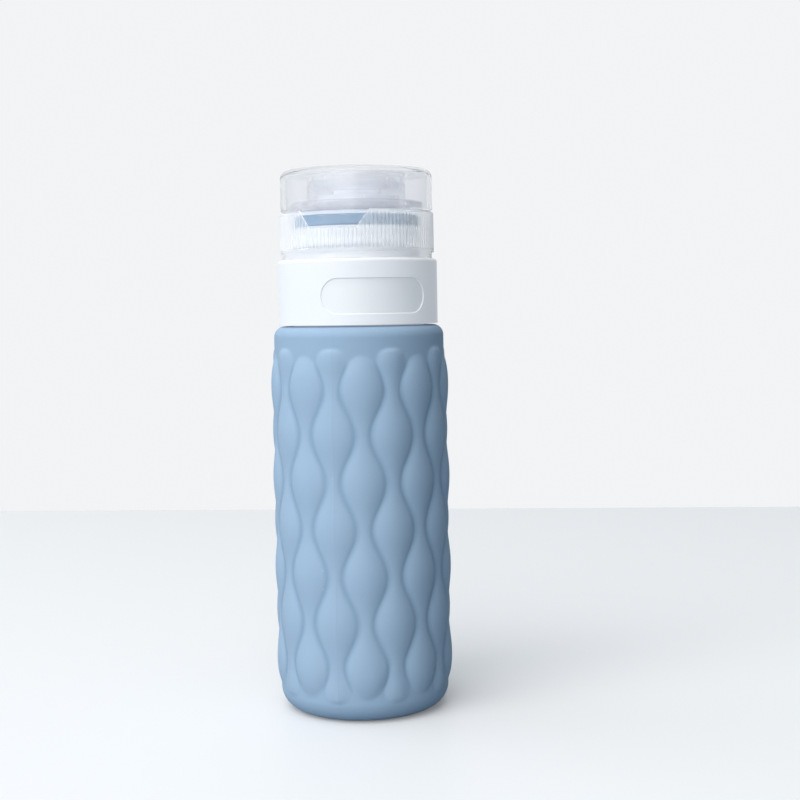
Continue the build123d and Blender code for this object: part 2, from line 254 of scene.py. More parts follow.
class MeshMaker:
    """Gathers rows of points, in millimetres, into one mesh object."""

    merge_reach: float = 1e-4 * MM

    def __init__(self, name: str) -> None:
        """Starts an empty mesh.

        Args:
            name: The object's name.
        """
        self.name = name
        self.points: list[Point3] = []
        self.faces: list[tuple[int, ...]] = []

    def add_points(self, points: Sequence[Point3]) -> Sequence[int]:
        """Adds points and gives their indices."""
        self.points.extend(points)
        return range(len(self.points) - len(points), len(self.points))

    def bridge(self, rows: Sequence[Sequence[int]]) -> None:
        """Joins rings of the same length with quads, each to the next.

        Args:
            rows: The rings in order.
        """
        for low, high in zip(rows, rows[1:]):
            for index in range(len(low)):
                after = (index + 1) % len(low)
                self.faces.append((low[index], low[after], high[after], high[index]))

    def bridge_strips(self, rows: Sequence[Sequence[int]]) -> None:
        """Joins rings whose two halves run side by side, there and back, and closes both ends.

        Args:
            rows: The rings in order.
        """
        self.bridge(rows)
        for row in (rows[0], rows[-1]):
            for index in range(len(row) // 2 - 1):
                self.faces.append((row[index], row[index + 1], row[-2 - index], row[-1 - index]))

    def close_ring(self, row: Sequence[int], centre: Point3) -> None:
        """Closes a ring with a fan about a point.

        Args:
            row: The ring.
            centre: The fan's middle.
        """
        (middle,) = self.add_points([centre])
        for index, point in enumerate(row):
            self.faces.append((point, row[(index + 1) % len(row)], middle))

    def finish(self, sharp_angle: float = 35.0, merge: bool = True) -> Piece:
        """Makes the object, with outward normals and smooth shading.

        Args:
            sharp_angle: Edges that turn more than this stay crisp.
            merge: Whether points at the same place become one.

        Returns:
            The new object, linked to the scene.
        """
        mesh = bpy.data.meshes.new(self.name)
        mesh.from_pydata([(x * MM, y * MM, z * MM) for x, y, z in self.points], [], self.faces)
        build = bmesh.new()
        build.from_mesh(mesh)
        if merge:
            bmesh.ops.remove_doubles(build, verts=build.verts, dist=self.merge_reach)
        bmesh.ops.recalc_face_normals(build, faces=build.faces)
        build.to_mesh(mesh)
        build.free()
        mesh.polygons.foreach_set("use_smooth", [True] * len(mesh.polygons))
        mesh.set_sharp_from_angle(angle=math.radians(sharp_angle))
        return add_object(self.name, mesh)


class Nodes:
    """A short way to place and join the nodes of one tree."""

    colour_mix_inputs: Sequence[int] = (0, 6, 7)
    colour_mix_output: int = 2

    def __init__(self, tree: NodeTree) -> None:
        """Wraps a node tree."""
        self.tree = tree

    def add(self, kind: str, **settings: object) -> Node:
        """Places a node.

        Args:
            kind: The node's type, without its ShaderNode start.
            settings: Properties to set on it.

        Returns:
            The node.
        """
        node = self.tree.nodes.new(kind if kind.startswith("NodeGroup") else "ShaderNode" + kind)
        for name, value in settings.items():
            setattr(node, name, value)
        return node

    def join(self, source: Socket, target: Socket) -> None:
        """Links two sockets."""
        self.tree.links.new(source, target)

    def put(self, node: Node, name: str | int, value: object) -> None:
        """Sets an input, or links it if the value is a socket.

        Args:
            node: The node.
            name: The input's name or number.
            value: A plain value or an output socket.
        """
        target = node.inputs[name]
        if isinstance(value, Socket):
            self.join(value, target)
        elif target.type == "RGBA" and len(value) == 3:
            target.default_value = (*value, 1.0)
        else:
            target.default_value = value

    def fill(self, node: Node, **values: object) -> Node:
        """Sets or links several inputs of a node.

        Args:
            node: The node.
            values: The inputs' names, with underscores for spaces, and what they get.

        Returns:
            The same node.
        """
        for name, value in values.items():
            self.put(node, name.replace("_", " "), value)
        return node

    def math(self, operation: str, first: object, second: object) -> Socket:
        """Reckons with two values.

        Args:
            operation: Blender's name of the operation.
            first: Its first input.
            second: Its second input.

        Returns:
            The result's socket.
        """
        node = self.add("Math", operation=operation)
        self.put(node, 0, first)
        self.put(node, 1, second)
        return node.outputs[0]

    def spread(self, value: object, old: Point2, new: Point2 = (0.0, 1.0)) -> Socket:
        """Maps a value from one range to another, clamped.

        Args:
            value: The value.
            old: The range that it comes in.
            new: The range that it gets.

        Returns:
            The mapped value's socket.
        """
        node = self.add("MapRange")
        self.fill(node, Value=value, From_Min=old[0], From_Max=old[1], To_Min=new[0], To_Max=new[1])
        return node.outputs["Result"]

    def mix(self, share: object, first: object, second: object) -> Socket:
        """Mixes two colours.

        Args:
            share: How much of the second.
            first: The first colour.
            second: The second colour.

        Returns:
            The mixed colour's socket.
        """
        node = self.add("Mix", data_type="RGBA")
        for number, value in zip(self.colour_mix_inputs, (share, first, second)):
            self.put(node, number, value)
        return node.outputs[self.colour_mix_output]

    def tint(self, colour: object, other: object, share: object, amount: float) -> Socket:
        """A colour moved towards another by a share of an amount."""
        return self.mix(self.math("MULTIPLY", share, amount), colour, other)

    def vary(self, base: float, share: object, amount: float) -> Socket:
        """A base value that grows by a share of an amount."""
        return self.math("ADD", self.math("MULTIPLY", share, amount), base)

    def noise(
        self, place: object, scale: object, detail: float = 2.0, roughness: float = 0.5
    ) -> Socket:
        """Places a noise of about 0 to 1.

        Args:
            place: The coordinates' socket.
            scale: Its scale, per metre.
            detail: How many octaves it has.
            roughness: How strong the fine octaves are.

        Returns:
            The value's socket.
        """
        node = self.add("TexNoise")
        self.fill(node, Vector=place, Scale=scale, Detail=detail, Roughness=roughness)
        return node.outputs[0]

    def mix_shaders(self, share: Socket, first: Node, second: Node) -> Socket:
        """Mixes two shaders.

        Args:
            share: How much of the second.
            first: The first shader's node.
            second: The second shader's node.

        Returns:
            The mixed shader's socket.
        """
        node = self.add("MixShader")
        for number, source in enumerate((share, first.outputs[0], second.outputs[0])):
            self.join(source, node.inputs[number])
        return node.outputs[0]


class EffectGroup(Nodes):
    """A node group under construction, whose sockets are all numbers."""

    def __init__(self, name: str, inputs: dict[str, float], outputs: Sequence[str]) -> None:
        """Starts the group.

        Args:
            name: The group's name.
            inputs: Input names with their first values.
            outputs: Output names.
        """
        group = bpy.data.node_groups.new(name, "ShaderNodeTree")
        for socket, value in inputs.items():
            made = group.interface.new_socket(socket, in_out="INPUT", socket_type="NodeSocketFloat")
            made.default_value = value
        for socket in outputs:
            group.interface.new_socket(socket, in_out="OUTPUT", socket_type="NodeSocketFloat")
        super().__init__(group)
        self.place = self.add("TexCoord").outputs["Object"]
        self.given = self.add("NodeGroupInput")
        self.result = self.add("NodeGroupOutput")

    def give(self, name: str, value: Socket) -> None:
        """Joins a value to one of the group's outputs."""
        self.join(value, self.result.inputs[name])


class SharedEffects:
    """The shader node groups for grain, handling and dust, each built once."""

    broad_ratio: float = 24.0
    smudge_range: Point2 = (0.4, 0.7)
    streak_ratio: float = 14.0
    streak_range: Point2 = (0.45, 0.75)
    speck_edge: Point2 = (0.06, 0.1)

    def __init__(self) -> None:
        """Builds every group."""
        self.moulded_grain = self.build_moulded_grain()
        self.handling = self.build_handling()
        self.lint = self.build_lint()

    def build_moulded_grain(self) -> NodeTree:
        """Draws the fine bumps that a mould leaves, on broad waves.

        Returns:
            The group.
        """
        inputs = {"Grains Per Metre": 2500.0, "Waviness": 0.3}
        group = EffectGroup("moulded_grain", inputs, ["Height"])
        grains = group.given.outputs["Grains Per Metre"]
        fine = group.noise(group.place, grains, detail=3.0, roughness=0.6)
        broad = group.noise(group.place, group.math("DIVIDE", grains, self.broad_ratio))
        wave = group.math("MULTIPLY", broad, group.given.outputs["Waviness"])
        group.give("Height", group.math("ADD", fine, wave))
        return group.tree

    def build_handling(self) -> NodeTree:
        """Draws broad smudges and fine streaks from hands, which change gloss and tone a little.

        Returns:
            The group.
        """
        inputs = {"Smudges Per Metre": 60.0, "Stretch": 0.6}
        group = EffectGroup("handling", inputs, ["Smudge", "Streak"])
        smudges = group.given.outputs["Smudges Per Metre"]
        smudge = group.noise(group.place, smudges, detail=4.0, roughness=0.55)
        stretch = group.add("CombineXYZ")
        for axis, share in enumerate((1.0, 1.0, group.given.outputs["Stretch"])):
            group.put(stretch, axis, share)
        stretched = group.add("VectorMath", operation="MULTIPLY")
        group.join(group.place, stretched.inputs[0])
        group.join(stretch.outputs[0], stretched.inputs[1])
        streaks = group.math("MULTIPLY", smudges, self.streak_ratio)
        streak = group.noise(stretched.outputs[0], streaks)
        group.give("Smudge", group.spread(smudge, self.smudge_range))
        group.give("Streak", group.spread(streak, self.streak_range))
        return group.tree

    def build_lint(self) -> NodeTree:
        """Draws sparse specks of dust that cling to silicone.

        Returns:
            The group.
        """
        inputs = {"Specks Per Metre": 420.0, "Share": 0.05}
        group = EffectGroup("lint", inputs, ["Speck"])
        cells = group.add("TexVoronoi", feature="F1")
        group.fill(cells, Vector=group.place, Scale=group.given.outputs["Specks Per Metre"])
        near = group.spread(cells.outputs["Distance"], self.speck_edge, (1.0, 0.0))
        parts = group.add("SeparateColor")
        group.join(cells.outputs["Color"], parts.inputs[0])
        chosen = group.math("LESS_THAN", parts.outputs[0], group.given.outputs["Share"])
        group.give("Speck", group.math("MULTIPLY", near, chosen))
        return group.tree


class Finish(Nodes):
    """What every finish shares: a material with one Principled shader."""

    def __init__(self, name: str) -> None:
        """Starts a material.

        Args:
            name: The material's name.
        """
        self.material = bpy.data.materials.new(name)
        self.material.use_nodes = True
        self.material.node_tree.nodes.clear()
        super().__init__(self.material.node_tree)
        self.shader = self.add("BsdfPrincipled")
        self.output = self.add("OutputMaterial")
        self.show(self.shader.outputs[0])

    def show(self, surface: Socket) -> None:
        """Makes a shader the material's surface."""
        self.join(surface, self.output.inputs["Surface"])

    def effect(self, group: NodeTree, **values: float) -> Node:
        """Places a shared group with its own values, named with underscores for spaces."""
        return self.fill(self.add("Group", node_tree=group), **values)

    def let_lamps_through(self, share: float, tint: Rgb) -> None:
        """Lets light from lamps pass, as thin plastic does, so that what it holds is lit.

        Args:
            share: How much of the light passes each surface.
            tint: The colour of what passes.
        """
        clear = self.fill(self.add("BsdfTransparent"), Color=tint)
        passed = self.math("MULTIPLY", self.add("LightPath").outputs["Is Shadow Ray"], share)
        self.show(self.mix_shaders(passed, self.shader, clear))

    def bump(self, height: Socket, depth: float) -> None:
        """Feeds a height into the shader's normal, where 1 stands for a depth in metres."""
        node = self.fill(self.add("Bump"), Strength=1.0, Distance=depth, Height=height)
        self.join(node.outputs[0], self.shader.inputs["Normal"])


@dataclass(frozen=True)
class SiliconeFinish:
    """Matte, slate blue silicone, darkened by painted shade in its creases and a little on its
    plain parts.
    """

    colour: Rgb = rgb_from_srgb(149, 172, 195)
    # Painted shade: the darker colour that creases and plain parts are mixed towards; smudges use
    # it too.
    painted_shade_and_smudge_colour: Rgb = rgb_from_srgb(133, 158, 182)
    smudges: float = 45.0
    smudge_tint: float = 0.05
    smudge_roughness: float = 0.06
    specks: float = 330.0
    speck_share: float = 0.03
    speck_colour: Rgb = (0.9, 0.9, 0.9)
    speck_tint: float = 0.12
    grains: float = 4200.0
    waviness: float = 0.4
    grain_depth: float = 0.012 * MM
    roughness: float = 0.68
    specular: float = 0.2
    softness: float = 0.12
    soft_reach: Point3 = (0.6, 0.8, 1.0)
    soft_scale: float = 0.8 * MM

    def make(self, effects: SharedEffects) -> Material:
        """Builds the material.

        Args:
            effects: The shared node groups.

        Returns:
            The material.
        """
        finish = Finish("matte_silicone")
        # The shade attribute carries painted shade: 1 in a crease, 0 on a crown, a share on plain
        # parts.
        crease = finish.add("Attribute", attribute_name="shade").outputs["Fac"]
        smudge = finish.effect(effects.handling, Smudges_Per_Metre=self.smudges).outputs["Smudge"]
        speck = finish.effect(effects.lint, Specks_Per_Metre=self.specks, Share=self.speck_share)
        grain = finish.effect(
            effects.moulded_grain, Grains_Per_Metre=self.grains, Waviness=self.waviness
        )
        colour = finish.mix(crease, self.colour, self.painted_shade_and_smudge_colour)
        colour = finish.tint(colour, self.painted_shade_and_smudge_colour, smudge, self.smudge_tint)
        finish.fill(
            finish.shader,
            Base_Color=finish.tint(colour, self.speck_colour, speck.outputs[0], self.speck_tint),
            Roughness=finish.vary(self.roughness, smudge, self.smudge_roughness),
            Specular_IOR_Level=self.specular,
            Subsurface_Weight=self.softness,
            Subsurface_Radius=self.soft_reach,
            Subsurface_Scale=self.soft_scale,
        )
        finish.bump(grain.outputs["Height"], self.grain_depth)
        return finish.material


@dataclass(frozen=True)
class WhitePlasticFinish:
    """Satin white plastic, as moulded. Its glow is painted light that lifts its shaded side, for
    the light that thin walls pass on.
    """

    name: str = "white_polypropylene"
    colour: Rgb = rgb_from_srgb(200, 202, 206)
    shade: Rgb = rgb_from_srgb(197, 199, 203)
    smudges: float = 70.0
    smudge_tint: float = 0.5
    smudge_roughness: float = 0.08
    grains: float = 1500.0
    waviness: float = 0.8
    grain_depth: float = 0.003 * MM
    roughness: float = 0.42
    specular: float = 0.3
    # Painted light: emission in the plastic's own colour that lifts its shaded side.
    glow: float = 0.36

    def make(self, effects: SharedEffects) -> Material:
        """Builds the material.

        Args:
            effects: The shared node groups.

        Returns:
            The material.
        """
        finish = Finish(self.name)
        smudge = finish.effect(effects.handling, Smudges_Per_Metre=self.smudges).outputs["Smudge"]
        grain = finish.effect(
            effects.moulded_grain, Grains_Per_Metre=self.grains, Waviness=self.waviness
        )
        finish.fill(
            finish.shader,
            Base_Color=finish.tint(self.colour, self.shade, smudge, self.smudge_tint),
            Roughness=finish.vary(self.roughness, smudge, self.smudge_roughness),
            Specular_IOR_Level=self.specular,
            # The emission below is painted light that flattens the shading.
            Emission_Color=self.colour,
            Emission_Strength=self.glow,
        )
        finish.bump(grain.outputs["Height"], self.grain_depth)
        return finish.material


@dataclass(frozen=True)
class ClearFinish:
    """See-through plastic or silicone, from milky to clear. Its edge_shade is a share of painted
    shade that darkens it where it is seen edge on, and its glow is painted light from an emission."""

    name: str
    colour: Rgb
    haze: Rgb
    transmission: float
    roughness: float
    refraction: float
    specular: float = 0.5
    coat: float = 0.2
    coat_roughness: float = 0.2
    # Painted light: an emission in the plastic's own colour that lifts its tone, shaded parts too.
    glow: float = 0.0
    lamp_share: float = 0.85
    edge_shade: float = 0.0
    edge_power: float = 4.0
    edge_shade_colour: Rgb = (0.4, 0.45, 0.5)
    smudges: float = 90.0
    smudge_tint: float = 0.5
    streak_roughness: float = 0.05
    grains: float = 1800.0
    waviness: float = 0.7
    grain_depth: float = 0.001 * MM

    def make(self, effects: SharedEffects) -> Material:
        """Builds the material.

        Args:
            effects: The shared node groups.

        Returns:
            The material.
        """
        finish = Finish(self.name)
        handled = finish.effect(effects.handling, Smudges_Per_Metre=self.smudges)
        grain = finish.effect(
            effects.moulded_grain, Grains_Per_Metre=self.grains, Waviness=self.waviness
        )
        colour = finish.tint(self.colour, self.haze, handled.outputs["Smudge"], self.smudge_tint)
        # Painted shade: the colour darkens towards the edge shade colour where the surface is seen
        # edge on.
        if self.edge_shade > 0.0:
            grazing = finish.add("LayerWeight").outputs["Facing"]
            edge = finish.math("POWER", grazing, self.edge_power)
            colour = finish.tint(colour, self.edge_shade_colour, edge, self.edge_shade)
        finish.fill(
            finish.shader,
            Base_Color=colour,
            Roughness=finish.vary(self.roughness, handled.outputs["Streak"], self.streak_roughness),
            Transmission_Weight=self.transmission,
            IOR=self.refraction,
            Specular_IOR_Level=self.specular,
            Coat_Weight=self.coat,
            Coat_Roughness=self.coat_roughness,
            # The emission below is painted light, a glow that lifts shaded parts.
            Emission_Color=self.colour,
            Emission_Strength=self.glow,
        )
        finish.let_lamps_through(self.lamp_share, self.haze)
        finish.bump(grain.outputs["Height"], self.grain_depth)
        return finish.material


@dataclass(frozen=True)
class TableFinish:
    """Pale, faintly glossy table top, which throws back less light than it shows."""

    colour: Rgb = (0.65, 0.655, 0.665)
    smudged: Rgb = (0.635, 0.645, 0.66)
    bounce: Rgb = (0.26, 0.33, 0.39)
    smudges: float = 3.0
    smudge_tint: float = 0.3
    roughness: float = 0.45
    specular: float = 0.12
    glow_colour: Rgb = (1.0, 1.0, 1.0)
    glow: float = 0.15

    def make(self, effects: SharedEffects) -> Material:
        """Builds the material.

        Args:
            effects: The shared node groups.

        Returns:
            The material.
        """
        finish = Finish("pale_table")
        smudge = finish.effect(effects.handling, Smudges_Per_Metre=self.smudges).outputs["Smudge"]
        finish.fill(
            finish.shader,
            Base_Color=finish.tint(self.colour, self.smudged, smudge, self.smudge_tint),
            Roughness=self.roughness,
            Specular_IOR_Level=self.specular,
            Emission_Color=self.glow_colour,
            Emission_Strength=self.glow,
        )
        dim = finish.fill(finish.add("BsdfDiffuse"), Color=self.bounce)
        depth = finish.add("LightPath").outputs["Diffuse Depth"]
        bounced = finish.math("GREATER_THAN", depth, FIRST_BOUNCE)
        finish.show(finish.mix_shaders(bounced, finish.shader, dim))
        return finish.material


class FinishSet:
    """Every finish of the bottle, made once."""

    def __init__(self) -> None:
        """Builds the shared groups and the materials."""
        effects = SharedEffects()
        self.silicone = SiliconeFinish().make(effects)
        self.white = WhitePlasticFinish().make(effects)
        self.dial = WhitePlasticFinish(
            "dial_white", rgb_from_srgb(197, 200, 205), rgb_from_srgb(193, 197, 202), roughness=0.4
        ).make(effects)
        self.frosted = ClearFinish(
            "frosted_polypropylene", colour=(0.83, 0.833, 0.842), haze=(0.81, 0.818, 0.832),
            transmission=0.76, roughness=0.75, refraction=1.03, specular=0.2, coat=0.0,
            glow=0.08, lamp_share=0.7, edge_shade=0.7,
        ).make(effects)
        self.clouded = ClearFinish(
            "clouded_polypropylene", colour=(0.74, 0.755, 0.795), haze=(0.725, 0.745, 0.79),
            transmission=0.9, roughness=0.2, refraction=1.12, coat=0.4,
            glow=0.068, lamp_share=0.6,
        ).make(effects)
        self.polished = ClearFinish(
            "polished_polypropylene", colour=(0.9, 0.92, 0.945), haze=(0.88, 0.905, 0.935),
            transmission=0.95, roughness=0.06, refraction=1.08, coat=0.12, coat_roughness=0.1,
            lamp_share=0.3,
        ).make(effects)
        # Painted highlight: a glowing finish for the notch's slanted sides, where the edges catch
        # the light.
        self.painted_highlight = ClearFinish(
            "edge_lit_polypropylene", colour=(0.95, 0.955, 0.965), haze=(0.94, 0.945, 0.955),
            transmission=0.3, roughness=0.2, refraction=1.1, glow=0.5,
        ).make(effects)
        self.milky = ClearFinish(
            "milky_pane", colour=(0.7, 0.715, 0.735), haze=(0.68, 0.7, 0.72),
            transmission=0.2, roughness=0.3, refraction=1.3, glow=0.14, grain_depth=0.006 * MM,
        ).make(effects)
        self.clear = ClearFinish(
            "clear_lid_plastic", colour=(0.845, 0.852, 0.87), haze=(0.835, 0.845, 0.866),
            transmission=0.94, roughness=0.14, refraction=1.06, coat=0.35, coat_roughness=0.3,
            glow=0.04, lamp_share=0.7, edge_shade=0.6, grain_depth=0.0004 * MM,
        ).make(effects)
        self.soft_clear = ClearFinish(
            "clear_silicone", colour=(0.84, 0.86, 0.89), haze=(0.82, 0.84, 0.87),
            transmission=0.6, roughness=0.3, refraction=1.41, glow=0.2,
            grains=3000.0, grain_depth=0.008 * MM,
        ).make(effects)
        self.table = TableFinish().make(effects)


@dataclass
class Relief:
    """The columns of teardrops moulded on the body, which swell and narrow in turn."""

    columns: int = 18
    pitch: float = 22.5
    swing: float = 4.8
    first_swell_height: float = 12.8
    band_radius: float = 20.95
    crease_rise: float = 0.03
    rise: float = 1.05
    rise_power: float = 1.2
    low_margins: Point2 = (5.3, 6.05)
    high_margins: Point2 = (5.4, 6.7)
    shoulder_height: float = 94.9
    end_run: float = 5.2
    end_drop: float = 0.9
    end_slope: float = 1.3
    end_curve: float = 1.5
    end_power: float = 3.0
    crease_blend: float = 0.22
    band_blend: float = 0.34
    crease_depth: float = 0.95
    fade_depth: float = 0.35
    # Painted shade on the plain band, as a share of a crease's darkness.
    band_shade: float = 0.35
    samples: int = 9
    line_angle: float = 1.0
    line_half_width: float = 0.36
    line_height: float = 0.04
    line_shares: Sequence[float] = (-1.6, -1.0, -0.5, 0.0, 0.5, 1.0, 1.6)

    @property
    def spacing(self) -> float:
        """The angle from one column to the next."""
        return 360.0 / self.columns

    def is_marked(self, index: int) -> bool:
        """Whether a column carries the parting line, as the front and the back one do."""
        return index in (0, self.columns // 2)

    def line_rise(self, index: int, angle: float) -> float:
        """How far the parting line stands proud of a column.

        Args:
            index: Which column.
            angle: Degrees from its crown.

        Returns:
            The rise, 0 off the line.
        """
        if not self.is_marked(index):
            return 0.0
        off = abs(angle - self.line_angle) / self.line_half_width
        return self.line_height * (1 - eased(off))

    def half_angle(self, height: float, low: bool) -> float:
        """Half the angle that a column takes.

        Args:
            height: Height above the base.
            low: Whether the column is of the kind that swells lowest.

        Returns:
            The angle from its crown to its crease.
        """
        phase = 0.0 if low else 180.0
        turn = 360.0 * (height - self.first_swell_height) / self.pitch + phase
        return self.spacing / 2 + self.swing * math.cos(math.radians(turn))

    def sunk(self, height: float, low: bool, angle: float) -> float:
        """How far a column sinks near its round ends, and on past them.

        Args:
            height: Height above the base.
            low: The column's kind.
            angle: Degrees from its crown.

        Returns:
            The drop in its radius.
        """
        curve = self.end_curve * abs(angle / (self.spacing / 2)) ** self.end_power
        low_end = self.low_margins[low] + curve
        high_end = self.shoulder_height - self.high_margins[low] - curve
        inside = min(height - low_end, high_end - height)
        along = min(max(0.0, 1.0 - inside / self.end_run), 1.0)
        beyond = max(0.0, -inside)
        return self.end_drop * (1 - math.sqrt(1 - along * along)) + self.end_slope * beyond

    def column_radius(self, height: float, low: bool, angle: float) -> float:
        """The radius of one column's surface.

        Args:
            height: Height above the base.
            low: The column's kind.
            angle: Degrees from its crown.

        Returns:
            The radius, or 0 where the column's arc has ended.
        """
        half = self.half_angle(height, low)
        crease = self.band_radius + self.crease_rise - self.sunk(height, low, angle)
        widest = self.spacing / 2 + self.swing
        crown = crease + self.rise * (half / widest) ** self.rise_power
        across = crease * math.sin(math.radians(half))
        along = crease * math.cos(math.radians(half))
        sagitta = crown - along
        bend = (across * across + sagitta * sagitta) / (2 * sagitta)
        middle = crown - bend
        ray = math.radians(angle)
        room = bend * bend - (middle * math.sin(ray)) ** 2
        return middle * math.cos(ray) + math.sqrt(room) if room > 0 else 0.0

    def angles_in_column(self, index: int, height: float) -> list[float]:
        """Where the mesh samples one column, closest together at its creases.

        Args:
            index: Which column.
            height: Height above the base.

        Returns:
            Angles from the column's crown, from its left crease up to its right one.
        """
        half = self.half_angle(height, bool(index % 2))
        line = [0.0]
        if self.is_marked(index):
            line = [self.line_angle + self.line_half_width * share for share in self.line_shares]
        left, right = [], []
        for step in range(self.samples):
            share = 1 - math.cos(math.pi / 2 * step / self.samples)
            left.append(-half + (half + line[0]) * share)
            if step:
                right.append(half - (half - line[-1]) * share)
        return left + line + right[::-1]

    def surface(self, height: float, band_radius: float) -> list[Sample]:
        """One row of the skin.

        Args:
            height: Height above the base.
            band_radius: The plain band's radius there.

        Returns:
            The angle, radius, height and painted shade of each sample, whose painted shade is 0 on
            a crown, 1 in a crease and the band's share where the plain band shows.
        """
        row = []
        for index in range(self.columns):
            low = bool(index % 2)
            for angle in self.angles_in_column(index, height):
                own = self.column_radius(height, low, angle)
                other = self.column_radius(height, not low, self.spacing - abs(angle))
                bulge = smooth_max(own, other, self.crease_blend)
                radius = smooth_max(bulge, band_radius, self.band_blend)
                radius += self.line_rise(index, angle)
                # Painted shade: dark in a crease, none on a crown, the band's share where the band
                # shows.
                raised = eased((bulge - band_radius) / self.fade_depth + 1.0)
                crease = 1.0 - eased(abs(own - other) / self.crease_depth)
                shade = raised * crease + (1.0 - raised) * self.band_shade
                row.append((index * self.spacing + angle, radius, height, shade))
        return row


@dataclass
class SqueezeBody:
    """The soft bottle: relief skin, shoulder, neck and folded lip, and its inside."""

    relief: Relief = field(default_factory=Relief)
    wall: float = 2.6
    base_thickness: float = 3.4
    base_corner: float = 5.2
    corner_steps: int = 10
    relief_below_corner: float = 0.9
    inner_corner: float = 3.0
    middle_radius: float = 0.4
    recess_radius: float = 12.5
    recess_depth: float = 0.8
    foot_round: float = 0.3
    foot_gap: float = 0.1
    shoulder_round: float = 2.6
    shoulder_steps: int = 8
    shoulder_wall: float = 2.4
    shoulder_gap: float = 0.2
    seat_round: float = 0.2
    neck_radius: float = 14.4
    neck_round: float = 0.15
    lip_radius: float = 16.5
    lip_low: float = 118.8
    lip_high: float = 121.4
    lip_round: float = 0.45
    bore_radius: float = 12.2
    bore_round: float = 0.6
    cavity_round: float = 0.8
    row_step: float = 0.4
    sharp_angle: float = 60.0

    def outer_rows(self) -> list[list[Sample]]:
        """Draws the relief skin from the base's corner to the shoulder's round.

        Returns:
            Its rows, from the lowest up.
        """
        band = self.relief.band_radius
        first_relief = self.base_corner - self.relief_below_corner
        last_relief = self.relief.shoulder_height - self.shoulder_round
        rows = []
        for step in range(self.corner_steps):
            turn = math.pi / 2 * step / self.corner_steps
            height = self.base_corner * (1 - math.cos(turn))
            if height >= first_relief:
                break
            radius = band - self.base_corner + self.base_corner * math.sin(turn)
            rows.append(self.plain_row(radius, height))
        height = first_relief
        while height < last_relief:
            plain = band
            if height < self.base_corner:
                down = self.base_corner - height
                plain = band - self.base_corner + math.sqrt(self.base_corner**2 - down**2)
            rows.append(self.relief.surface(height, plain))
            height += self.row_step
        for step in range(self.shoulder_steps + 1):
            turn = math.pi / 2 * step / self.shoulder_steps
            radius = band - self.shoulder_round * (1 - math.cos(turn))
            rows.append(self.plain_row(radius, last_relief + self.shoulder_round * math.sin(turn)))
        return rows

    def plain_row(self, radius: float, height: float) -> list[Sample]:
        """A round row with the relief's own angles.

        Args:
            radius: The row's radius.
            height: Its height.

        Returns:
            The angle, radius, height and painted shade of each sample.
        """
        relief = self.relief
        high = relief.shoulder_height - relief.high_margins[0]
        nearest = min(max(height, relief.low_margins[0]), high)
        on_skin = radius > self.neck_radius and height < relief.shoulder_height
        row = []
        for index in range(relief.columns):
            for angle in relief.angles_in_column(index, nearest):
                turn = index * relief.spacing + angle
                rise = relief.line_rise(index, angle) if on_skin else 0.0
                row.append((turn, radius + rise, height, relief.band_shade))
        return row

    def inner_profile(self) -> list[Point2]:
        """Draws the profile from the shoulder's top, over the lip and down the inside.

        Returns:
            Its points.
        """
        cavity = self.relief.band_radius - self.wall
        cavity_top = self.relief.shoulder_height - self.shoulder_wall
        seat = self.relief.band_radius - self.shoulder_round - self.shoulder_gap
        corners = [
            Corner(seat, self.relief.shoulder_height),
            Corner(self.neck_radius, self.relief.shoulder_height, self.seat_round),
            Corner(self.neck_radius, self.lip_low, self.neck_round),
            Corner(self.lip_radius, self.lip_low, self.lip_round),
            Corner(self.lip_radius, self.lip_high, self.lip_round),
            Corner(self.bore_radius, self.lip_high, self.lip_round),
            Corner(self.bore_radius, cavity_top, self.bore_round),
            Corner(cavity - self.wall, cavity_top, self.cavity_round),
            Corner(cavity, cavity_top - self.wall, self.cavity_round),
            Corner(cavity, self.base_thickness, self.inner_corner),
            Corner(self.middle_radius, self.base_thickness),
        ]
        return RoundedProfile(corners, steps=5, longest=5.0).points()

    def base_profile(self) -> list[Point2]:
        """Draws the profile of the underside, from its middle to the corner's start.

        Returns:
            Its points.
        """
        corners = [
            Corner(self.middle_radius, self.recess_depth),
            Corner(self.recess_radius, self.recess_depth, self.foot_round),
            Corner(self.recess_radius + self.recess_depth, 0.0, self.foot_round),
            Corner(self.relief.band_radius - self.base_corner - self.foot_gap, 0.0),
        ]
        return RoundedProfile(corners, steps=4, longest=3.0).points()

    def build(self) -> Piece:
        """Builds the body's mesh.

        Returns:
            The object, with the painted shade of each point as an attribute.
        """
        maker = MeshMaker("silicone_body")
        rows = [self.plain_row(radius, height) for radius, height in self.base_profile()]
        rows += self.outer_rows()
        rows += [self.plain_row(radius, height) for radius, height in self.inner_profile()]
        made = [maker.add_points([around(r, angle, z) for angle, r, z, _ in row]) for row in rows]
        maker.bridge(made)
        maker.close_ring(made[0], (0.0, 0.0, self.recess_depth))
        maker.close_ring(made[-1], (0.0, 0.0, self.base_thickness))
        piece = maker.finish(self.sharp_angle, merge=False)
        shades = [shade for row in rows for *_, shade in row] + [self.relief.band_shade] * 2
        attribute = piece.data.attributes.new("shade", "FLOAT", "POINT")
        attribute.data.foreach_set("value", shades)
        return piece


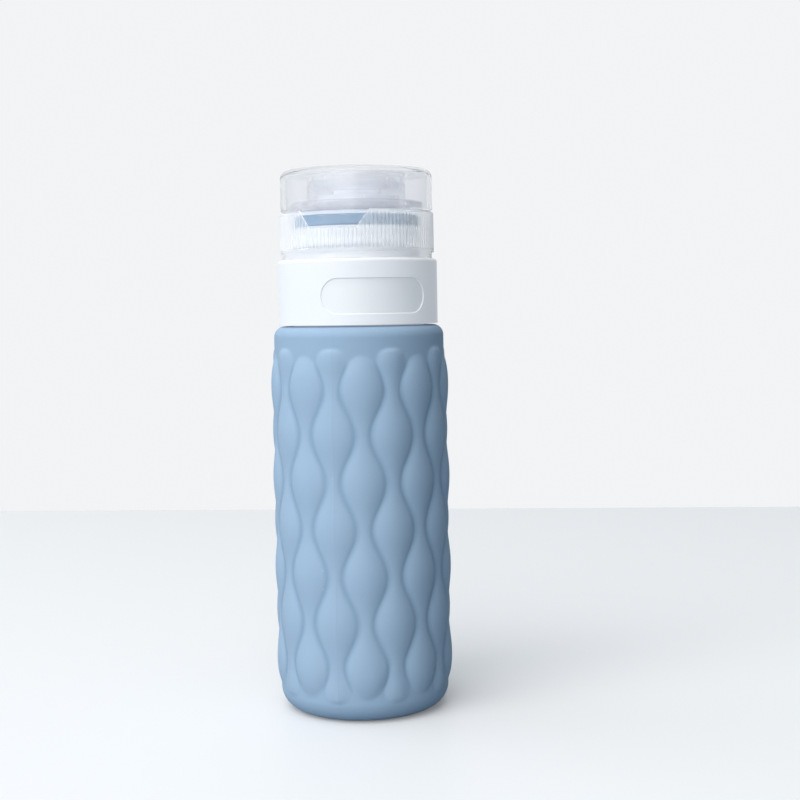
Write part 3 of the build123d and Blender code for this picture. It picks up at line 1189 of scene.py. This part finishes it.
@dataclass
class LidShell:
    """The clear lid: wall, ring and plug turned in one profile, with the hinge pad behind."""

    radius: float = 18.65
    wall: float = 1.2
    low: float = 122.95
    ceiling: float = 131.5
    high: float = 132.7
    edge_round: float = 1.7
    inner_round: float = 0.6
    soft_round: float = 0.15
    ring_radii: Point2 = (12.1, 10.9)
    ring_low: float = 129.9
    plug_radii: Point2 = (8.4, 7.4)
    plug_low: float = 127.95
    middle_radius: float = 0.4
    segments: int = 192
    pad_width: float = 11.0
    pad_height: float = 1.4
    pad_back: float = 19.0
    pad_sink: float = 0.02
    pad_columns: int = 16

    def turned_profile(self) -> list[Point2]:
        """Draws the profile from the top's middle, round the rim and under the ceiling.

        Returns:
            Its points.
        """
        corners = [
            Corner(self.middle_radius, self.high),
            Corner(self.radius, self.high, self.edge_round),
            Corner(self.radius, self.low, self.soft_round),
            Corner(self.radius - self.wall, self.low, self.soft_round),
            Corner(self.radius - self.wall, self.ceiling, self.inner_round),
        ]
        walls = ((self.ring_radii, self.ring_low), (self.plug_radii, self.plug_low))
        for (outer, inner), low in walls:
            wall = ((outer, self.ceiling), (outer, low), (inner, low), (inner, self.ceiling))
            corners += [Corner(radius, height, self.soft_round) for radius, height in wall]
        corners.append(Corner(self.middle_radius, self.ceiling))
        return RoundedProfile(corners, steps=6, longest=4.0).points()

    def add_pad(self, maker: MeshMaker) -> None:
        """Adds the pad that the hinge strap is moulded to.

        Args:
            maker: The mesh that it joins.
        """
        across = [
            self.pad_width * (column / self.pad_columns - 0.5)
            for column in range(self.pad_columns + 1)
        ]
        near = [(x, math.sqrt(self.radius**2 - x * x) - self.pad_sink) for x in across]
        top = self.low + self.pad_height
        rows = []
        for height, back in (
            (self.low, self.pad_back - self.soft_round),
            (self.low + self.soft_round, self.pad_back),
            (top - self.soft_round, self.pad_back),
            (top, self.pad_back - self.soft_round),
        ):
            ring = [(x, y, height) for x, y in near] + [(x, back, height) for x in reversed(across)]
            rows.append(maker.add_points(ring))
        maker.bridge_strips(rows)

    def build(self) -> Piece:
        """Builds the lid's mesh.

        Returns:
            The object.
        """
        maker = MeshMaker("lid_shell")
        turns = [360.0 * index / self.segments for index in range(self.segments)]
        rows = [
            maker.add_points([around(radius, turn, height) for turn in turns])
            for radius, height in self.turned_profile()
        ]
        maker.bridge(rows)
        maker.close_ring(rows[0], (0.0, 0.0, self.high))
        maker.close_ring(rows[-1], (0.0, 0.0, self.ceiling))
        self.add_pad(maker)
        return maker.finish()


@dataclass
class HingeStrap:
    """The living hinge: a thin band that bends between the cap's pad and the lid's."""

    width: float = 9.0
    near_y: float = 19.0
    thickness: float = 0.4
    low: float = 121.2
    high: float = 124.15
    hinge_height: float = 122.675
    groove_depth: float = 0.2
    groove_half_height: float = 0.3
    edge_drop: float = 0.12
    edge_run: float = 0.15
    back_taper: float = 0.985
    side_drop: float = 0.06
    side_from: float = 0.9
    side_run: float = 0.1
    rows: int = 30
    columns: int = 12

    def outside(self, height: float) -> float:
        """The band's outer face at a height, with its thinned bend.

        Args:
            height: Height above the base.

        Returns:
            The distance from the axis towards the back.
        """
        off = abs(height - self.hinge_height) / self.groove_half_height
        thinned = self.groove_depth * (1 - eased(off))
        edge = min(height - self.low, self.high - height)
        rounding = self.edge_drop * (1 - eased(edge / self.edge_run))
        return self.near_y + self.thickness - thinned - rounding

    def build(self) -> Piece:
        """Builds the band, finely divided along its height.

        Returns:
            The object.
        """
        maker = MeshMaker("living_hinge")
        shares = [column / self.columns for column in range(self.columns + 1)]
        rows = []
        for step in range(self.rows + 1):
            height = self.low + (self.high - self.low) * step / self.rows
            back = self.outside(height)
            ring = [(self.width * (share - 0.5), self.near_y, height) for share in shares]
            for share in reversed(shares):
                x = self.width * (share - 0.5) * self.back_taper
                drop = self.side_drop * eased((abs(share * 2 - 1) - self.side_from) / self.side_run)
                ring.append((x, back - drop, height))
            rows.append(maker.add_points(ring))
        maker.bridge_strips(rows)
        return maker.finish()


@dataclass
class Bottle:
    """The bottle's own body: silicone, neck sleeve and label dial."""

    skin: SqueezeBody = field(default_factory=SqueezeBody)

    def build(self, finishes: FinishSet) -> list[Piece]:
        """Builds the skin and dresses it, the sleeve and the dial.

        Args:
            finishes: The materials.

        Returns:
            The pieces.
        """
        skin = self.skin.build()
        return [
            dress(skin, finishes.silicone, Body.BOTTLE, ["squeeze_body"]),
            dress(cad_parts["neck_sleeve"], finishes.white),
            dress(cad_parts["label_dial"], finishes.dial),
        ]


@dataclass
class Collar:
    """The turning collar with the window."""

    def build(self, finishes: FinishSet) -> list[Piece]:
        """Dresses the collar and its pane."""
        shell = dress(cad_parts["window_collar"], finishes.white)
        return [shell, dress(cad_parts["window_pane"], finishes.milky)]


@dataclass
class ScrewCap:
    """The frosted cap with its valve, and the washer that rises with it."""

    polished_radii: Point2 = (16.6, 18.3)
    deck_from: float = 122.45
    notch_side_rise: float = 0.55
    normal_reach: float = 0.02

    def build(self, finishes: FinishSet) -> list[Piece]:
        """Dresses the cap and what it carries.

        Args:
            finishes: The materials.

        Returns:
            The pieces.
        """
        return [
            self.build_shell(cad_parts["cap_base"], finishes),
            dress(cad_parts["slit_valve"], finishes.soft_clear),
            dress(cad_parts["valve_retainer"], finishes.clouded),
            dress(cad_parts["seal_washer"], finishes.soft_clear),
        ]

    def zone(self, face: bpy.types.MeshPolygon) -> CapZone:
        """Chooses a face's finish: clouded for the deck and platform, a glowing painted highlight
        on the notch's slanted sides, polished in the bore and on the notch's floor, and frosted
        outside.

        Args:
            face: A face of the cap.

        Returns:
            Its zone.
        """
        inner, outer = (radius * MM for radius in self.polished_radii)
        reach = math.hypot(face.center.x, face.center.y)
        slant = abs(face.normal.z - self.notch_side_rise)
        if reach < inner or face.center.z > self.deck_from * MM:
            return CapZone.CLOUDED
        # The notch's slanted sides get the painted highlight.
        if abs(face.normal.y) < self.normal_reach and slant < self.normal_reach:
            return CapZone.EDGE_LIT
        return CapZone.POLISHED if reach < outer else CapZone.FROSTED

    def build_shell(self, node: Piece, finishes: FinishSet) -> Piece:
        """Makes the cap in its four finishes.

        Args:
            node: The cap's CAD node, which the new piece stands for.
            finishes: The materials.

        Returns:
            The new piece.
        """
        mesh = node.data.copy()
        mesh.name = "cap_shell"
        shell = add_object("cap_shell", mesh)
        dress(shell, finishes.frosted, Body.CAP, [node.name])
        for material in (finishes.polished, finishes.clouded, finishes.painted_highlight):
            mesh.materials.append(material)
        for face in mesh.polygons:
            face.material_index = self.zone(face).value
        return shell


@dataclass
class FlipLid:
    """The clear lid and the hinge strap that carries it."""

    shell: LidShell = field(default_factory=LidShell)
    hinge: HingeStrap = field(default_factory=HingeStrap)

    def build(self, finishes: FinishSet) -> list[Piece]:
        """Builds and dresses the lid and its strap.

        Args:
            finishes: The materials.

        Returns:
            The pieces.
        """
        lid = dress(self.shell.build(), finishes.clear, Body.LID, ["flip_lid"])
        strap = self.hinge.build()
        dress(strap, finishes.frosted, replaces=["hinge_strap"])
        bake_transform(strap)
        return [lid, strap]


@dataclass(frozen=True)
class Lamp:
    """A soft, square lamp.

    Args:
        name: Its name.
        place: Where it hangs, in metres.
        size: The side of its square, in metres.
        power: Its power in watts.
        colour: Its colour.
    """

    name: str
    place: Point3
    size: float
    power: float
    colour: Rgb = (1.0, 1.0, 1.0)

    def hang(self, aim: Point3) -> None:
        """Hangs the lamp.

        Args:
            aim: The point that it faces.
        """
        data = bpy.data.lights.new(self.name, "AREA")
        data.shape = "SQUARE"
        data.size = self.size
        data.energy = self.power
        data.color = self.colour
        holder = add_object(self.name, data)
        holder.location = self.place
        direction = Vector(aim) - Vector(self.place)
        holder.rotation_euler = direction.to_track_quat("-Z", "Y").to_euler()


@dataclass
class Studio:
    """Table, lamps, background and the camera at the photograph's angle, sized in metres."""

    camera_place: Point3 = (0.1121, -0.3293, 0.0999)
    heading: float = -17.164
    pitch: float = 3.914
    roll: float = -0.98
    lens: float = 63.0
    sensor: float = 36.0
    clip_range: Point2 = (0.01, 50.0)
    table_back: float = 0.3325
    table_skew: float = -0.08
    table_side: float = 3.0
    table_front: float = 2.0
    table_thickness: float = 0.02
    bright_side: Point3 = (-0.86, -0.3, 0.4)
    fill_facing: Point2 = (-0.8, 0.8)
    fill_range: Point2 = (0.06, 0.34)
    fill_colour: Rgb = (0.72, 0.95, 1.12)
    shown_colour: Rgb = (0.89, 0.9, 0.915)
    lamp_aim: Point3 = (0.0, 0.0, 0.07)
    lamps: Sequence[Lamp] = (
        Lamp("key_lamp", around(1.25, -12.0, 0.95), size=1.8, power=34.0, colour=(1.0, 0.98, 0.95)),
        Lamp("side_lamp", around(1.0, -88.0, 0.45), size=0.8, power=1.5),
        Lamp("top_lamp", (-0.2, -0.1, 1.5), size=1.4, power=9.0),
    )

    def build_table(self, material: Material) -> Piece:
        """Lays the table top, with its far edge behind the object.

        Args:
            material: Its finish.

        Returns:
            The table.
        """
        heading = math.radians(self.heading)
        ahead = Vector((math.sin(heading), math.cos(heading), 0.0))
        aside = Vector((math.cos(heading), -math.sin(heading), 0.0))
        corners = [
            aside * side + ahead * reach
            for side, reach in (
                (-self.table_side, -self.table_front),
                (self.table_side, -self.table_front),
                (self.table_side, self.table_back + self.table_skew * self.table_side),
                (-self.table_side, self.table_back - self.table_skew * self.table_side),
            )
        ]
        table = MeshMaker("table_top")
        top, under = (
            table.add_points([(p.x / MM, p.y / MM, height / MM) for p in corners])
            for height in (0.0, -self.table_thickness)
        )
        table.bridge([under, top])
        table.faces += [tuple(top), tuple(under)]
        piece = dress(table.finish(), material)
        return piece

    def light_world(self) -> None:
        """Sets a soft surround for light, and a pale one that is seen in and behind the object."""
        world = bpy.data.worlds.new("studio")
        bpy.context.scene.world = world
        world.use_nodes = True
        world.node_tree.nodes.clear()
        nodes = Nodes(world.node_tree)
        path = nodes.add("LightPath")
        seen = path.outputs["Is Camera Ray"]
        for kind in ("Is Transmission Ray", "Is Glossy Ray"):
            seen = nodes.math("MAXIMUM", seen, path.outputs[kind])
        unbounced = nodes.math("LESS_THAN", path.outputs["Diffuse Depth"], FIRST_BOUNCE)
        seen = nodes.math("MULTIPLY", seen, unbounced)
        way = nodes.add("VectorMath", operation="DOT_PRODUCT")
        nodes.join(nodes.add("TexCoord").outputs["Generated"], way.inputs[0])
        way.inputs[1].default_value = self.bright_side
        strength = nodes.spread(way.outputs["Value"], self.fill_facing, self.fill_range)
        fill = nodes.fill(nodes.add("Background"), Color=self.fill_colour, Strength=strength)
        shown = nodes.fill(nodes.add("Background"), Color=self.shown_colour, Strength=1.0)
        nodes.join(nodes.mix_shaders(seen, fill, shown), nodes.add("OutputWorld").inputs[0])

    def set_camera(self) -> None:
        """Places the camera where the photograph was taken from."""
        heading, pitch, roll = (math.radians(v) for v in (self.heading, self.pitch, self.roll))
        level_share = math.cos(pitch)
        ahead = Vector(
            (math.sin(heading) * level_share, math.cos(heading) * level_share, -math.sin(pitch))
        )
        level = ahead.cross(Vector((0, 0, 1))).normalized()
        upright = level.cross(ahead).normalized()
        across = level * math.cos(roll) + upright * math.sin(roll)
        up = upright * math.cos(roll) - level * math.sin(roll)
        data = bpy.data.cameras.new("photo_camera")
        data.lens = self.lens
        data.sensor_width = self.sensor
        data.clip_start, data.clip_end = self.clip_range
        holder = add_object("photo_camera", data)
        turn = Matrix((across, up, -ahead)).transposed().to_4x4()
        holder.matrix_world = Matrix.Translation(self.camera_place) @ turn
        bpy.context.scene.camera = holder

    def build(self, finishes: FinishSet) -> None:
        """Sets up everything round the object.

        Args:
            finishes: The materials.
        """
        self.build_table(finishes.table)
        self.light_world()
        for lamp in self.lamps:
            lamp.hang(self.lamp_aim)
        self.set_camera()


def main() -> None:
    """Builds the studio and every sub-assembly."""
    logging.basicConfig(level=logging.INFO, format="%(name)s: %(message)s")
    bpy.context.scene.view_settings.view_transform = "Standard"
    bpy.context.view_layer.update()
    finishes = FinishSet()
    Studio().build(finishes)
    LOG.info("studio set up")
    for assembly in (Bottle(), Collar(), ScrewCap(), FlipLid()):
        for piece in assembly.build(finishes):
            LOG.info("%s: %s", type(assembly).__name__, piece.name)


if __name__ == "__main__":
    main()
